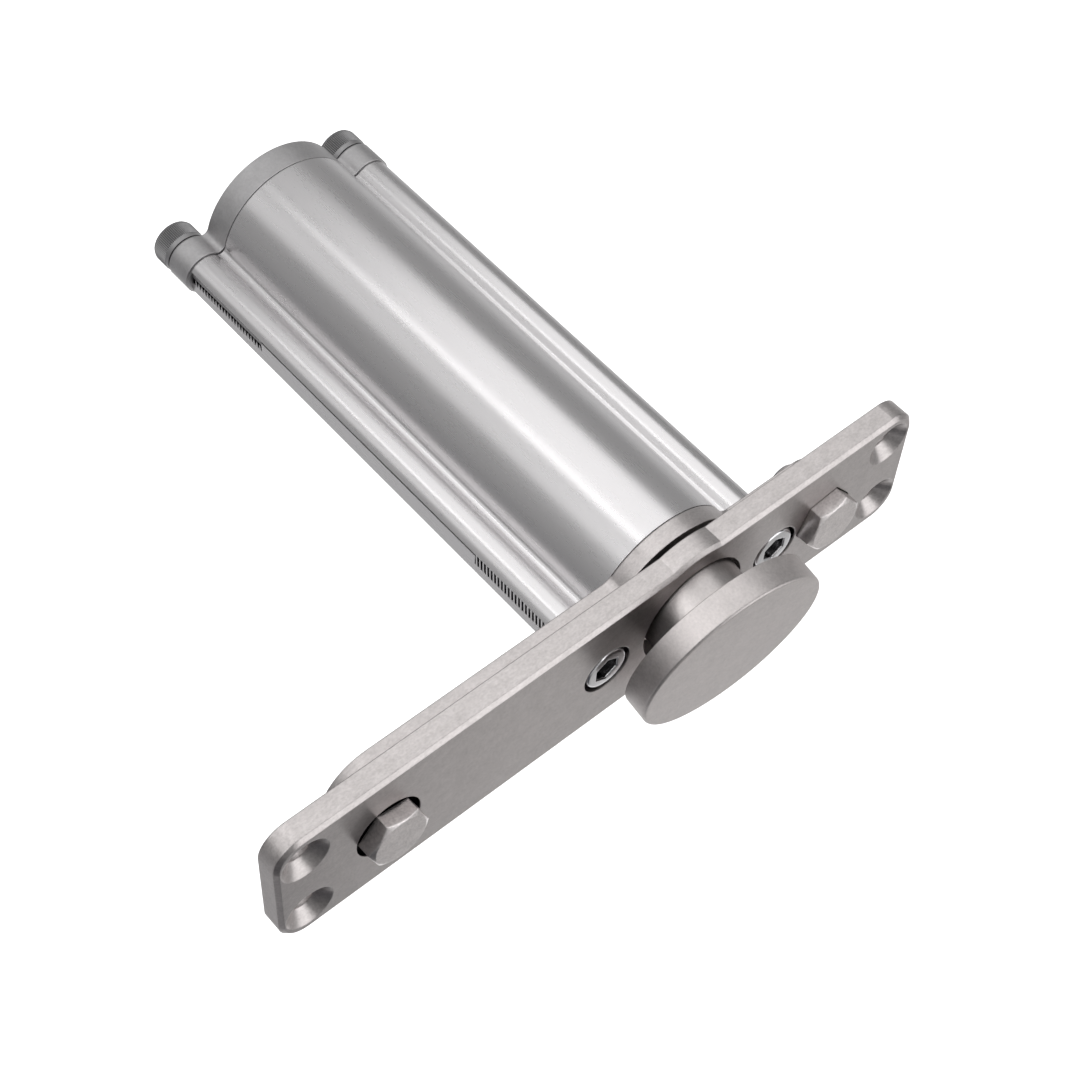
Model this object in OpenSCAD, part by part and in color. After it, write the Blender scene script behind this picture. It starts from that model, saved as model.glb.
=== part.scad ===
// Bottom pivot hinge for a heavy door: face plate, adapter, finned housing with a
// self-centring helix drive inside, and a loose floor disc on the spindle's square end.
// X runs along the face plate, Y is the pivot axis (floor disc at -Y), Z is up.
// The origin is the point where the pivot axis meets the front of the face plate.

/* [Face plate] */
// Length of the face plate along X
plate_len = 155; // [140:1:180]
// Height of the face plate along Z
plate_h = 32; // [30:0.5:36]
// Thickness of the face plate
plate_t = 5; // [4.5:0.5:6]
// Distance from the pivot axis to the middle of the face plate
plate_shift = 20; // [10:1:26]
// Radius of the face plate's four corners
plate_corner_r = 6; // [3:0.5:9]
// Bevel along the front edges of the face plate
plate_bevel = 0.8; // [0.3:0.1:1.2]
// Radius of the opening round the neck of the floor disc
neck_hole_r = 12.5; // [12.5:0.1:12.9]
// Distance from each end of the face plate to its screw holes
end_hole_inset = 6.3; // [6:0.1:8]
// Distance between the two screw holes of one end
end_hole_pitch = 18; // [16:0.5:20]
// Radius of the end screw holes
end_hole_r = 2.7; // [2.2:0.1:2.9]
// Radius of the countersinks at the front face
csk_r = 5.2; // [4.5:0.1:5.5]
// Clearance between a cap screw head and its hole in the face plate
head_play = 0.6; // [0.3:0.1:0.8]

/* [Adapter] */
// Gap between the face plate and the adapter
adapter_gap = 1; // [0.8:0.1:1.5]
// Thickness of the adapter
adapter_t = 4; // [4:0.5:6]
// Half height of the adapter's long arm
long_arm_r = 10.2; // [9:0.1:11]
// Distance from the pivot axis to the end centre of the long arm
long_arm_x = 70.5; // [66:0.5:74]
// Half height of the adapter's short arm
short_arm_r = 6; // [5.5:0.1:6.5]
// Radius of the blends between the round body and the arms
arm_blend_r = 3; // [2:0.5:4]
// Distance from the middle of the pair of hex bolts to each of them
hex_bolt_offset = 54; // [50:0.5:54]
// Distance of that middle from the middle of the face plate
hex_pair_shift = 0.75; // [0:0.05:0.8]
// Width across flats of the hex bolt heads
hex_bolt_af = 12; // [12:0.5:13]
// Height of the hex bolt heads
hex_head_h = 5.3; // [4:0.1:6]
// Length of the hex bolts under the head
hex_bolt_len = 10; // [9:0.5:10.5]

/* [Housing] */
// Outer radius of the round body
body_r = 17; // [16.5:0.1:19]
// Length of the housing tube
tube_len = 115.6; // [115:0.1:125]
// Inner radius of the piston bore
bore_r = 14; // [14:0.1:14.2]
// Inner radius of the wider bores at both ends
seat_bore_r = 15; // [15:0.1:15.2]
// Half width of each keyway in the piston bore
keyway_hw = 2.5; // [2:0.1:3]
// Distance from the pivot axis to each screw lobe
lobe_x = 21.6; // [21:0.1:24]
// Outer radius of the screw lobes
lobe_r = 4.6; // [4.5:0.1:5]
// Distance from a lobe's centre to its flat
lobe_flat = 3.6; // [3.5:0.1:4]
// Radius of the valley between the round body and a lobe
valley_r = 1.5; // [1:0.1:2.5]
// Radius of the long core hole in each lobe
port_r = 2.6; // [2.4:0.05:2.7]
// Height above the lobe's centre of the upper lip of the slot
slot_top = 2.7; // [2.4:0.1:2.8]
// Width of the long slot in each lobe
slot_w = 0.7; // [0.5:0.1:1]
// Width of the slot where the thread breaks through
window_w = 3.2; // [2.4:0.1:3.4]
// Depth of the tapped ends of each core hole
tap_depth = 24; // [22:0.5:28]
// Radius of the rear cap's screw lugs
lug_r = 5; // [5:0.1:5.5]
// Thickness of the rear cap
cap_t = 6.2; // [5:0.1:8]

/* [Fasteners] */
// Radius of the M6 screw threads
screw_r = 3; // [3:0.1:3]
// Radius of the cap screw heads
cap_head_r = 5; // [4.9:0.05:5]
// Height of the cap screw heads
cap_head_h = 6; // [5:0.1:6]
// Width across flats of the hex sockets
socket_af = 5; // [4:0.5:5]
// Length of the front cap screws under the head
front_screw_len = 25; // [22:1:26]
// Length of the rear cap screws under the head
rear_screw_len = 30; // [25:1:30]

/* [Floor disc] */
// Radius of the floor disc
disc_r = 21; // [18:0.5:23]
// Thickness of the floor disc
disc_t = 5.8; // [4:0.1:8]
// Distance from the face plate to the back of the disc
disc_gap = 6.1; // [5.5:0.1:9]
// Radius of the neck behind the disc
neck_r = 11; // [10.8:0.1:11]
// How far the neck reaches past the front of the face plate
neck_reach = 4; // [3:0.5:4]
// Angle by which the loose disc hangs out of square
sag_angle = 8.4; // [4:0.1:8.4]
// Direction of the sag axis about the pivot axis
sag_dir = 22.9; // [0:0.1:45]
// Distance in front of the face plate at which the loose disc rocks
rock_y = 5; // [4.5:0.1:5.5]
// Rounding of the disc's front edge
disc_edge_r = 0.6; // [0.3:0.1:1]

/* [Spindle] */
// Width of the spindle's square end
square_w = 12; // [11:0.1:12]
// Length of the spindle's square end
square_len = 6; // [5:0.1:6]
// Clearance between the square end and its socket
square_play = 0.45; // [0.45:0.01:0.6]
// Radius of the stem behind the square end
stem_r = 4.8; // [4:0.1:4.8]
// Radius of the bearing journal
journal_r = 8.5; // [8:0.5:8.5]
// Radius of the shaft inside the helix sleeve
tail_r = 5; // [4:0.1:5]
// Radius of the helix sleeve
helix_r = 9; // [8.5:0.1:9]
// Travel of the piston for one full turn of the helix
helix_lead = 44; // [40:1:48]
// Opening angle of the hinge to each side
swing = 120; // [90:5:120]

/* [Piston] */
// Length of the piston
piston_len = 13; // [12:0.5:16]
// Radius of the two pins that run in the helix grooves
drive_pin_r = 1.3; // [1:0.1:1.35]
// Radius of the spring wire
wire_r = 1.5; // [1:0.1:1.6]
// Number of turns of each spring
spring_turns = 5; // [4:0.5:6]

/* [Hidden] */
$fn = 96;

// Colours
stainless = [0.64, 0.63, 0.61];
anodised = [0.76, 0.76, 0.77];
bright_steel = [0.80, 0.80, 0.81];
dark_steel = [0.36, 0.36, 0.37];
rubber = [0.08, 0.08, 0.08];

// Clearances
run = 0.05;      // radial running clearance of a turning or sliding pair
seat = 0.03;     // radial clearance of two pieces that stay together
cut = 0.5;       // overlap of a cutting tool past the face that it opens
joint_step = 0.2;  // depth of the fine line between the tube and its two end pieces
joint_inset = 0.6; // how far that line reaches in
blend_trim = 0.01; // how far a blend's circle reaches into the two rounds it joins

// Places along the pivot axis
adapter_y = plate_t + adapter_gap;
tube_y = adapter_y + adapter_t;
cap_y = tube_y + tube_len;
rear_y = cap_y + cap_t;

// Face plate
plate_x0 = -plate_shift - plate_len / 2;
hex_seat_depth = 1.8;
hex_seat_r = 7.2;
hex_hole_r = 4.3;
bolt_r = 4;
head_land = 0.3;
hex_turn = [8.8, -7.7];
pocket_play = 0.25;
hex_bolt_x = [for (side = [-1, 1]) hex_pair_shift - plate_shift + side * hex_bolt_offset];

// Front bearing stack inside the housing
seal_bore_r = 12.5;
gland_t = 8;
gland_lip = 2;
bearing_t = 7;
collar_t = 3;
collar_r = 12;
race_t = 2;
race_gap = 3;
support_t = 3;
bearing_y = tube_y + gland_t;
collar_y = bearing_y + bearing_t;
thrust_y = collar_y + collar_t;
support_y = thrust_y + 2 * race_t + race_gap;
shoulder_y = support_y + support_t;
ball_r = 2;
ball_pitch_r = (journal_r + seat_bore_r) / 2;
ball_count = 10;
inner_ring_r = 10.6;
outer_ring_r = 12.9;
thrust_ball_r = 1.75;
thrust_pitch_r = 11.5;
thrust_count = 14;
ball_play = 0.04;
thrust_bore_r = 9.2;
thrust_race_r = 14;

// O-rings: cord radius, and the groove that holds it
cord_r = 0.9;
groove_w = 2.2;
groove_play = 0.1;
o_ring_r = seat_bore_r - cord_r - run;
groove_r = o_ring_r - cord_r - groove_play;
gland_groove_y = tube_y + gland_t / 2;

// Rear cap spigot
spigot_len = 4.6;
spigot_y = cap_y - spigot_len;
cap_groove_y = cap_y - spigot_len / 2;
plug_r = 3;

// Piston and springs
seat_t = 1.5;
stroke = helix_lead * swing / 360;
spring_len = (spigot_y - shoulder_y - piston_len) / 2 - seat_t;
front_spring_y = shoulder_y + seat_t;
piston_y = front_spring_y + spring_len;
rear_spring_y = piston_y + piston_len;
pin_y = piston_y + piston_len / 2;
coil_r = bore_r - wire_r - 0.5;
key_r = seat_bore_r - 0.1;
key_hw = keyway_hw - 0.1;
ring_groove_r = 12.2;
ring_w = 2;
ring_y = piston_y + 1.5;
pin_tip_r = 6.9;
pin_end_r = bore_r - 0.5;

// Helix sleeve
groove_bottom_r = 6.5;
groove_hw = 2.6;
helix_margin = 2.5;
helix_y = pin_y - stroke - helix_margin;
helix_len = 2 * (stroke + helix_margin);
helix_slices = 48;
nut_t = 5;
thread_end_r = 4;
tail_len = nut_t + 1.5;

// Floor disc, before it sags
socket_room = 1.3;
socket_hw = square_w / 2 + square_play;
socket_end = rock_y + square_len / 2 + socket_room;
sag_axis = [cos(sag_dir), 0, -sin(sag_dir)];

// ---------- shapes that repeat ----------

// A cylinder along Y from y0 to y1
module rod(r, y0, y1, x = 0, z = 0) {
    translate([x, y0, z]) rotate([-90, 0, 0]) cylinder(r = r, h = y1 - y0);
}

// A cone along Y from radius r0 at y0 to radius r1 at y1
module cone(r0, r1, y0, y1, x = 0, z = 0) {
    translate([x, y0, z]) rotate([-90, 0, 0]) cylinder(r1 = r0, r2 = r1, h = y1 - y0);
}

// A ring along Y
module ring(r_out, r_in, y0, y1, x = 0) {
    difference() {
        rod(r_out, y0, y1, x);
        rod(r_in, y0 - cut, y1 + cut, x);
    }
}

// A hexagonal bar along Y, with two corners up and down or turned by an angle
module hex_bar(af, y0, y1, x = 0, turn = 0) {
    translate([x, y0, 0]) rotate([-90, 0, 0]) rotate([0, 0, turn])
        cylinder(r = af / 2 / cos(30), h = y1 - y0, $fn = 6);
}

// A flat outline in X and Z, drawn from y0 to y1
module slab(y0, y1) {
    translate([0, y1, 0]) rotate([90, 0, 0]) linear_extrude(height = y1 - y0) children();
}

// A torus round Y
module torus(ring_r, tube_r, y) {
    translate([0, y, 0]) rotate([-90, 0, 0]) rotate_extrude()
        translate([ring_r, 0]) circle(r = tube_r, $fn = 32);
}

// Balls in a circle round Y
module balls(count, pitch_r, r, y) {
    for (i = [0 : count - 1])
        rotate([0, i * 360 / count, 0]) translate([pitch_r, y, 0]) sphere(r = r, $fn = 32);
}

// One side's blend between a circle of radius ra at the axis and one of radius rb at x = d
function blend_x(ra, rb, d, f) = ((ra + f) ^ 2 - (rb + f) ^ 2 + d ^ 2) / (2 * d);
function blend_z(ra, f, x) = sqrt((ra + f) ^ 2 - x ^ 2);
module valley(ra, rb, d, f) {
    bx = blend_x(ra, rb, d, f);
    bz = blend_z(ra, f, bx);
    for (side = [1, -1]) difference() {
        polygon([[0, 0], [d, 0], [bx, side * bz]]);
        translate([bx, side * bz]) circle(r = f + blend_trim);
    }
}

// The round body from y0 to y1, with a lobe of radius r_lobe on each side
module body(r_lobe, y0, y1) {
    rod(body_r, y0, y1);
    for (half = [0, 180]) rotate([0, half, 0]) {
        rod(r_lobe, y0, y1, lobe_x);
        slab(y0, y1) valley(body_r, r_lobe, lobe_x, valley_r);
    }
}

// Raised faces that meet the tube, set back from the edge so that a fine line shows
module joint_boss(y0, y1) {
    rod(body_r - joint_inset, y0, y1);
    for (side = [-1, 1]) rod(lug_r - joint_inset, y0, y1, side * lobe_x);
}

// Arm with a round end at x = len and half height r, blended into the round body
module arm(len, r, f, y0, y1) {
    bx = sqrt((body_r + f) ^ 2 - (r + f) ^ 2);
    translate([0, y0, -r]) cube([len, y1 - y0, 2 * r]);
    rod(r, y0, y1, len);
    slab(y0, y1) for (side = [1, -1]) difference() {
        polygon([[0, 0], [bx, 0], [bx, side * (r + f)]]);
        translate([bx, side * (r + f)]) circle(r = f + blend_trim);
    }
}

// Socket head cap screw along Y: head from seat_y towards dir, shank the other way
module cap_screw(x, seat_y, dir, len) {
    head_y = seat_y + dir * cap_head_h;
    edge = 0.5;
    socket_depth = cap_head_h / 2;
    difference() {
        union() {
            rod(cap_head_r, min(seat_y, head_y - dir * edge), max(seat_y, head_y - dir * edge), x);
            translate([x, head_y - dir * edge, 0]) rotate([dir * -90, 0, 0])
                cylinder(r1 = cap_head_r, r2 = cap_head_r - edge, h = edge);
            rod(screw_r, min(seat_y, seat_y - dir * len), max(seat_y, seat_y - dir * len), x);
        }
        hex_bar(socket_af, min(head_y - dir * socket_depth, head_y + dir * cut),
            max(head_y - dir * socket_depth, head_y + dir * cut), x);
    }
}

// Points of a coil spring round Y, and the skin that joins them
coil_steps = 20;
coil_sides = 8;
function coil_ring(t, turns, y0, y1) = let (
    a = t * turns * 360,
    y = y0 + wire_r + t * (y1 - y0 - 2 * wire_r)
) [for (k = [0 : coil_sides - 1]) let (
    b = k * 360 / coil_sides,
    r = coil_r + wire_r * cos(b)
) [r * cos(a), y + wire_r * sin(b), r * sin(a)]];
module coil_spring(y0, y1) {
    n = spring_turns * coil_steps;
    rings = [for (i = [0 : n]) each coil_ring(i / n, spring_turns, y0, y1)];
    sides = [for (i = [0 : n - 1], k = [0 : coil_sides - 1]) let (
        a = i * coil_sides + k,
        b = i * coil_sides + (k + 1) % coil_sides
    ) [a, b, b + coil_sides, a + coil_sides]];
    start_cap = [for (k = [coil_sides - 1 : -1 : 0]) k];
    end_cap = [for (k = [0 : coil_sides - 1]) n * coil_sides + k];
    polyhedron(points = rings, faces = concat([start_cap], sides, [end_cap]));
}

// ---------- plates ----------

// Straight bar along one edge direction, with its two long front edges bevelled
module bevelled_bar(bar_len, half) {
    translate([-bar_len / 2, 0, 0]) rotate([90, 0, 90]) linear_extrude(height = bar_len)
        polygon([[0, -half + plate_bevel], [0, half - plate_bevel], [plate_bevel, half],
            [plate_t, half], [plate_t, -half], [plate_bevel, -half]]);
}

// Round disc of the face plate's thickness, with its front edge bevelled
module bevelled_disc(r, x = 0, z = 0) {
    cone(r - plate_bevel, r, 0, plate_bevel, x, z);
    rod(r, plate_bevel, plate_t, x, z);
}

module face_plate_blank() {
    hw = plate_len / 2 - plate_corner_r;
    hh = plate_h / 2 - plate_corner_r;
    translate([-plate_shift, 0, 0]) {
        bevelled_bar(2 * hw, plate_h / 2);
        rotate([0, 90, 0]) bevelled_bar(2 * hh, plate_len / 2);
        for (sx = [-1, 1], sz = [-1, 1]) bevelled_disc(plate_corner_r, sx * hw, sz * hh);
    }
    bevelled_disc(body_r);
}

module face_plate() {
    csk_depth = csk_r - end_hole_r;
    color(stainless) difference() {
        face_plate_blank();
        rod(neck_hole_r, -cut, plate_t + cut);
        for (sx = [-1, 1], sz = [-1, 1]) {
            x = -plate_shift + sx * (plate_len / 2 - end_hole_inset);
            z = sz * end_hole_pitch / 2;
            rod(end_hole_r, -cut, plate_t + cut, x, z);
            cone(csk_r + cut, end_hole_r, -cut, csk_depth, x, z);
        }
        for (side = [-1, 1]) rod(cap_head_r + head_play, -cut, plate_t + cut, side * lobe_x);
        for (x = hex_bolt_x) rod(hex_hole_r, 0, plate_t + cut, x);
        rod(hex_seat_r, -cut, hex_seat_depth, hex_bolt_x[0]);
        hex_bar(hex_bolt_af + 2 * pocket_play, -cut, hex_seat_depth, hex_bolt_x[1], hex_turn[1]);
    }
}

module adapter_plate() {
    color(stainless) difference() {
        union() {
            body(lug_r, adapter_y, tube_y - joint_step);
            joint_boss(tube_y - joint_step - cut, tube_y);
            rotate([0, 180, 0]) arm(long_arm_x, long_arm_r, arm_blend_r, adapter_y, tube_y);
            arm(hex_bolt_x[1], short_arm_r, arm_blend_r, adapter_y, tube_y);
        }
        rod(journal_r + 0.5, adapter_y - cut, tube_y + cut);
        for (side = [-1, 1]) rod(screw_r + 0.3, adapter_y - cut, tube_y + cut, side * lobe_x);
        for (x = hex_bolt_x) rod(bolt_r + seat, adapter_y - cut, tube_y + cut, x);
    }
}

// ---------- housing ----------

// A slot of a given width through the outer wall of each lobe
module lobe_slot(width, y0, y1) {
    for (half = [0, 180]) rotate([0, half, 0])
        translate([-lobe_x - lobe_r, y0, slot_top - width]) cube([lobe_r, y1 - y0, width]);
}

module housing_tube() {
    window_y = [[tube_y - cut, tube_y + tap_depth], [cap_y - tap_depth, cap_y + cut]];
    flat_x = lobe_x + lobe_flat;
    color(anodised) difference() {
        body(lobe_r, tube_y, cap_y);
        for (half = [0, 180]) rotate([0, half, 0])
            translate([flat_x, tube_y - cut, -lobe_r]) cube([lobe_r, tube_len + 2 * cut, 2 * lobe_r]);
        rod(bore_r, tube_y - cut, cap_y + cut);
        rod(seat_bore_r, tube_y - cut, shoulder_y);
        rod(seat_bore_r, spigot_y - cut, cap_y + cut);
        translate([-seat_bore_r, tube_y - cut, -keyway_hw])
            cube([2 * seat_bore_r, tube_len + 2 * cut, 2 * keyway_hw]);
        for (side = [-1, 1]) {
            rod(port_r, tube_y - cut, cap_y + cut, side * lobe_x);
            for (span = window_y) rod(screw_r + seat, span[0], span[1], side * lobe_x);
        }
        lobe_slot(slot_w, tube_y - cut, cap_y + cut);
        for (span = window_y) lobe_slot(window_w, span[0], span[1]);
    }
}

module rear_cap() {
    color(anodised) difference() {
        union() {
            body(lug_r, cap_y + joint_step, rear_y);
            joint_boss(cap_y, cap_y + joint_step + cut);
            rod(seat_bore_r - seat, spigot_y, cap_y + cut);
        }
        difference() {
            rod(seat_bore_r + cut, cap_groove_y - groove_w / 2, cap_groove_y + groove_w / 2);
            rod(groove_r, spigot_y, cap_y);
        }
        for (side = [-1, 1]) rod(screw_r + 0.3, cap_y - cut, rear_y + cut, side * lobe_x);
        rod(plug_r + seat, spigot_y - cut, rear_y + cut);
    }
}

module filler_plug() {
    socket_depth = cap_t / 2;
    color(dark_steel) difference() {
        rod(plug_r, cap_y, rear_y - 0.2);
        hex_bar(3, rear_y - socket_depth, rear_y + cut);
    }
}

module cap_o_ring() {
    color(rubber) torus(o_ring_r, cord_r, cap_groove_y);
}

// ---------- fasteners ----------

module adapter_cap_screws() {
    color(bright_steel) for (side = [-1, 1])
        cap_screw(side * lobe_x, adapter_y, -1, front_screw_len);
}

module rear_cap_screws() {
    color(dark_steel) for (side = [-1, 1])
        cap_screw(side * lobe_x, rear_y, 1, rear_screw_len);
}

// Hex bolt head with its 30 degree bevel on the front face
module hex_head(x, turn) {
    blank_r = hex_bolt_af / 2 / cos(30) + cut;
    front_r = hex_bolt_af / 2 - head_land;
    front_y = hex_seat_depth - hex_head_h;
    bevel = (blank_r - front_r) * tan(30);
    lap = cut / 5;
    intersection() {
        hex_bar(hex_bolt_af, front_y, hex_seat_depth, x, turn);
        union() {
            cone(front_r, blank_r, front_y, front_y + bevel, x);
            rod(blank_r, front_y + bevel - lap, hex_seat_depth + cut, x);
        }
    }
}

module hex_adjusting_bolts() {
    color(stainless) for (i = [0, 1]) {
        hex_head(hex_bolt_x[i], hex_turn[i]);
        rod(bolt_r, hex_seat_depth - cut, hex_seat_depth + hex_bolt_len, hex_bolt_x[i]);
    }
}

module spacer_washers() {
    color(bright_steel) for (x = hex_bolt_x)
        ring(short_arm_r - 0.2, bolt_r + 0.2, plate_t, adapter_y, x);
}

// ---------- floor disc and spindle ----------

// The disc and its neck are turned from one bar, with a square socket for the spindle
module floor_disc() {
    front_y = -disc_gap - disc_t;
    edge = disc_edge_r;
    color(stainless) translate([0, -rock_y, 0]) rotate(a = sag_angle, v = sag_axis)
        translate([0, rock_y, 0]) difference() {
            union() {
                rod(disc_r, front_y + edge, -disc_gap);
                rod(disc_r - edge, front_y, -disc_gap);
                torus(disc_r - edge, edge, front_y + edge);
                rod(neck_r, -disc_gap - cut, neck_reach);
            }
            translate([-socket_hw, -socket_end, -socket_hw])
                cube([2 * socket_hw, socket_end + neck_reach + cut, 2 * socket_hw]);
        }
}

module spindle() {
    stem_y = adapter_y + 0.5;
    square_y = -rock_y - square_len / 2;
    color(bright_steel) {
        translate([-square_w / 2, square_y, -square_w / 2]) cube([square_w, square_len, square_w]);
        rod(stem_r, square_y + square_len - cut, stem_y + cut);
        rod(journal_r, stem_y, shoulder_y + seat_t);
        rod(collar_r, collar_y, thrust_y);
        rod(tail_r, shoulder_y, helix_y + helix_len);
        rod(thread_end_r, helix_y + helix_len - cut, helix_y + helix_len + tail_len);
    }
}

// Two steep helical grooves turn the pins' straight travel into the spindle's turning
module helix_sleeve() {
    half_turn = 360 * helix_len / helix_lead / 2;
    color(dark_steel) difference() {
        ring(helix_r, tail_r + run, helix_y, helix_y + helix_len);
        translate([0, helix_y, 0]) rotate([-90, 0, 0]) for (side = [0, 180])
            rotate([0, 0, side + half_turn])
                linear_extrude(height = helix_len, twist = 2 * half_turn,
                        slices = helix_slices, segments = 8, $fn = 13)
                    translate([-groove_hw, groove_bottom_r])
                        square([2 * groove_hw, helix_r - groove_bottom_r + cut]);
    }
}

module sleeve_nut() {
    y = helix_y + helix_len;
    color(bright_steel) difference() {
        hex_bar(13, y, y + nut_t);
        rod(thread_end_r + seat, y - cut, y + nut_t + cut);
    }
}

// ---------- bearings and seals ----------

module gland_ring() {
    color(dark_steel) difference() {
        rod(seat_bore_r - seat, tube_y, bearing_y);
        rod(journal_r + 0.5, tube_y - cut, bearing_y + cut);
        rod(seal_bore_r, tube_y + gland_lip, bearing_y + cut);
        difference() {
            rod(seat_bore_r + cut, gland_groove_y - groove_w / 2, gland_groove_y + groove_w / 2);
            rod(groove_r, tube_y, bearing_y);
        }
    }
}

module gland_o_ring() {
    color(rubber) torus(o_ring_r, cord_r, gland_groove_y);
}

module shaft_seal() {
    color(rubber) ring(seal_bore_r - seat, journal_r + run, tube_y + gland_lip, bearing_y);
}

module bearing_outer_ring() {
    color(bright_steel) difference() {
        ring(seat_bore_r - seat, outer_ring_r, bearing_y, collar_y);
        torus(ball_pitch_r, ball_r + ball_play, bearing_y + bearing_t / 2);
    }
}

module bearing_inner_ring() {
    color(bright_steel) difference() {
        ring(inner_ring_r, journal_r + seat, bearing_y, collar_y);
        torus(ball_pitch_r, ball_r + ball_play, bearing_y + bearing_t / 2);
    }
}

module bearing_balls() {
    color(bright_steel) balls(ball_count, ball_pitch_r, ball_r, bearing_y + bearing_t / 2);
}

module thrust_front_race() {
    color(bright_steel) difference() {
        ring(thrust_race_r, journal_r + seat, thrust_y, thrust_y + race_t);
        torus(thrust_pitch_r, thrust_ball_r + ball_play, thrust_y + race_t + race_gap / 2);
    }
}

module thrust_rear_race() {
    color(bright_steel) difference() {
        ring(seat_bore_r - run, thrust_bore_r, support_y - race_t, support_y);
        torus(thrust_pitch_r, thrust_ball_r + ball_play, thrust_y + race_t + race_gap / 2);
    }
}

module thrust_balls() {
    color(bright_steel)
        balls(thrust_count, thrust_pitch_r, thrust_ball_r, thrust_y + race_t + race_gap / 2);
}

module thrust_support_ring() {
    color(dark_steel) ring(seat_bore_r - run, thrust_bore_r, support_y, shoulder_y);
}

// ---------- piston and springs ----------

module front_spring_seat() {
    color(dark_steel) ring(bore_r - run, thrust_bore_r, shoulder_y, shoulder_y + seat_t);
}

module rear_spring_seat() {
    color(dark_steel) ring(bore_r - run, thrust_bore_r, spigot_y - seat_t, spigot_y);
}

module front_spring() {
    color(dark_steel) coil_spring(front_spring_y, piston_y);
}

module rear_spring() {
    color(dark_steel) coil_spring(rear_spring_y, rear_spring_y + spring_len);
}

module piston() {
    orifice_r = 0.75;
    color(anodised) difference() {
        union() {
            rod(bore_r - run, piston_y, rear_spring_y);
            translate([-key_r, piston_y, -key_hw]) cube([2 * key_r, piston_len, 2 * key_hw]);
        }
        rod(helix_r + run, piston_y - cut, rear_spring_y + cut);
        difference() {
            rod(seat_bore_r + cut, ring_y, ring_y + ring_w);
            rod(ring_groove_r, piston_y, rear_spring_y);
        }
        for (side = [-1, 1]) {
            translate([0, pin_y, 0]) rotate([side * 90 - 90, 0, 0])
                cylinder(r = drive_pin_r + seat, h = pin_end_r);
            rod(orifice_r, piston_y - cut, rear_spring_y + cut, side * (helix_r + 1.6));
        }
    }
}

module piston_ring() {
    color(rubber) ring(bore_r - run, ring_groove_r + 0.1, ring_y + 0.1, ring_y + ring_w - 0.1);
}

module drive_pins() {
    color(bright_steel) for (side = [0, 180]) rotate([side, 0, 0])
        translate([0, side == 0 ? pin_y : -pin_y, pin_tip_r])
            cylinder(r = drive_pin_r, h = pin_end_r - pin_tip_r);
}

face_plate();
adapter_plate();
housing_tube();
rear_cap();
adapter_cap_screws();
rear_cap_screws();
hex_adjusting_bolts();
spacer_washers();
floor_disc();
spindle();
helix_sleeve();
sleeve_nut();
gland_ring();
gland_o_ring();
shaft_seal();
bearing_outer_ring();
bearing_inner_ring();
bearing_balls();
thrust_front_race();
thrust_rear_race();
thrust_balls();
thrust_support_ring();
front_spring_seat();
front_spring();
piston();
piston_ring();
drive_pins();
rear_spring();
rear_spring_seat();
cap_o_ring();
filler_plug();
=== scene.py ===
import math

import bpy
import numpy as np
from mathutils import Matrix, Vector


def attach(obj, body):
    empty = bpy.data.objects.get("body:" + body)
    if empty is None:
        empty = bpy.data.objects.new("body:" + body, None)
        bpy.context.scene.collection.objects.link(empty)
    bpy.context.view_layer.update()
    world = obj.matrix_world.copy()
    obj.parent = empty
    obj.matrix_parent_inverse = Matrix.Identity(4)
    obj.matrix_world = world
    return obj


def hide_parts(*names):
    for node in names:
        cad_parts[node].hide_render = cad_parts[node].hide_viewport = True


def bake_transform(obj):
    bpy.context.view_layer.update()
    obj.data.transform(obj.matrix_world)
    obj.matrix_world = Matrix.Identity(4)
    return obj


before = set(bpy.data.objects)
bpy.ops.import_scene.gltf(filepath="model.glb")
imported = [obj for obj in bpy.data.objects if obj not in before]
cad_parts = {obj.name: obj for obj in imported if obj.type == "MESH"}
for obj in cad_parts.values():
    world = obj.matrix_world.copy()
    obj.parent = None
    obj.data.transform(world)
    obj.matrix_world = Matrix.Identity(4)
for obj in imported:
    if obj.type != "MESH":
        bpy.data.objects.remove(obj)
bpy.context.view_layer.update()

MM = 0.001
TAU = 2 * math.pi


# ---------------------------------------------------------------- sizes, in millimetres
#
# The origin lies on the pivot's axis at the face plate's front. +Y runs along the axis into the
# door, +X along the face plate towards its short end and +Z across it.

# The two lobes of the housing, one on each side of the axis, and their tapped ends
LOBE_X = 21.6
FRONT_TAP_Y = (10.3, 33.8)
REAR_TAP_Y = (101.8, 125.3)

# M6 socket head cap screws: where their heads sit, and their sizes
FRONT_SEAT_Y = 6.0
REAR_SEAT_Y = 131.8
SHANK_R = 3.0
THREAD_DEPTH = 0.61
THREAD_PITCH = 1.0
HEAD_R = 5.0
HEAD_H = 6.0
SOCKET_AF = 5.0

# M8 hex adjusting bolts: their places along the face plate, and how far each is turned, in degrees
BOLT_X = (-73.25, 34.75)
BOLT_TURN = (8.8, -7.7)

# Coil springs: the end that stands on the housing, and the end on the piston
FRONT_SPRING_Y = (39.5, 73.0)
REAR_SPRING_Y = (119.5, 86.0)

# Two axes along Y, as their middle in X and each one's distance from it
LOBE_AXES = (0.0, LOBE_X)
BOLT_AXES = ((BOLT_X[0] + BOLT_X[1]) / 2, (BOLT_X[1] - BOLT_X[0]) / 2)
PIVOT_AXIS = (0.0, 0.0)


# ---------------------------------------------------------------- meshes

def outward(points, faces):
    """Triangles wound so that the shell's signed volume, the sum of a . (b x c) / 6, is positive."""
    a, b, c = (points[faces[:, k]] for k in range(3))
    return faces if np.einsum("ij,ij->", a, np.cross(b, c)) > 0 else faces[:, ::-1]


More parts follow.
